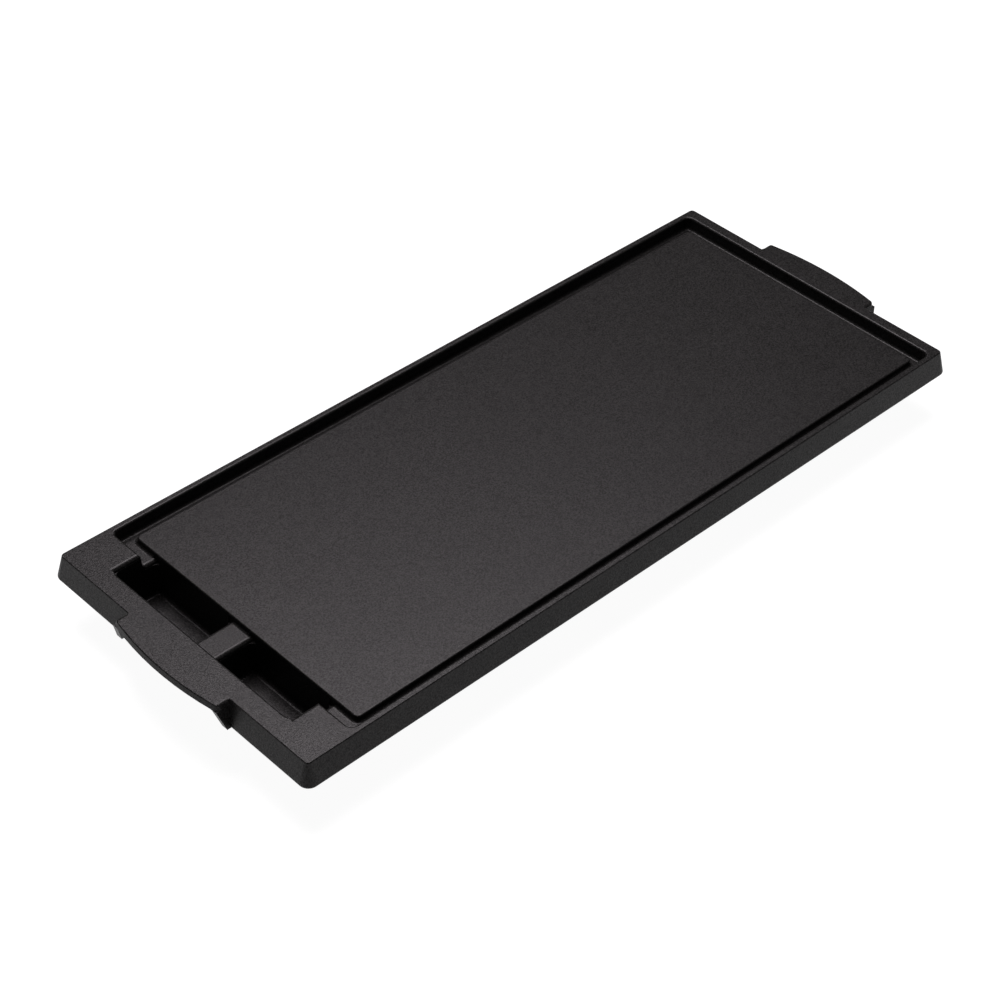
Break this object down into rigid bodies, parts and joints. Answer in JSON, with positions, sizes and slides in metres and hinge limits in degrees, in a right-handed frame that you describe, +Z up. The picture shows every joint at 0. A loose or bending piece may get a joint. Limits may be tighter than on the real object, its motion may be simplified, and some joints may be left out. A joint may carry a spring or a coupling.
{
  "type": "electric griddle",
  "caption": "Low, long countertop griddle: black non-stick cast plate with a raised cooking surface, grease channel, grease wells at one end, lip handles and a plug-in heater inlet underneath.",
  "frame": {"origin": "on the table, under the middle of the casting's box", "axes": "+Z up, +X along the griddle from the grease wells to the inlet end, +Y across it towards the inlet's side"},
  "size_m": [0.5264, 0.2126, 0.042],
  "materials": {
    "nonstick_casting": "cast aluminium under a black speckled non-stick coating",
    "sheath": "heat-darkened steel tube",
    "contact": "nickel-plated brass",
    "bead": "unglazed ceramic",
    "bracket_steel": "zinc-plated sheet",
    "shroud": "black heat-resistant moulding",
    "strap_steel": "plain sheet steel",
    "zinc": "zinc-plated",
    "reflector": "bright sheet",
    "mineral_fibre": "needled fibre mat",
    "cover_enamel": "satin black heat-resistant paint",
    "foot_rubber": "matte black"
  },
  "bodies": {
    "root": {"griddle_plate": "nonstick_casting", "heating_element": "sheath", "live_pin": "contact", "neutral_pin": "contact", "live_end_seal": "bead", "neutral_end_seal": "bead", "probe_sleeve": "sheath", "inlet_bracket": "bracket_steel", "inlet_shroud": "shroud", "earth_spring": "contact", "element_strap_1": "strap_steel", "element_strap_2": "strap_steel", "element_strap_3": "strap_steel", "element_strap_4": "strap_steel", "cross_strap": "strap_steel", "strap_screws": "zinc", "heat_reflector": "reflector", "insulation_mat": "mineral_fibre", "bottom_cover": "cover_enamel", "cover_screws": "zinc", "bracket_screws": "zinc", "shroud_screws": "zinc", "foot_1": "foot_rubber", "foot_2": "foot_rubber", "foot_3": "foot_rubber", "foot_4": "foot_rubber", "foot_screws": "zinc", "foot_nuts": "zinc"}
  },
  "joints": []
}
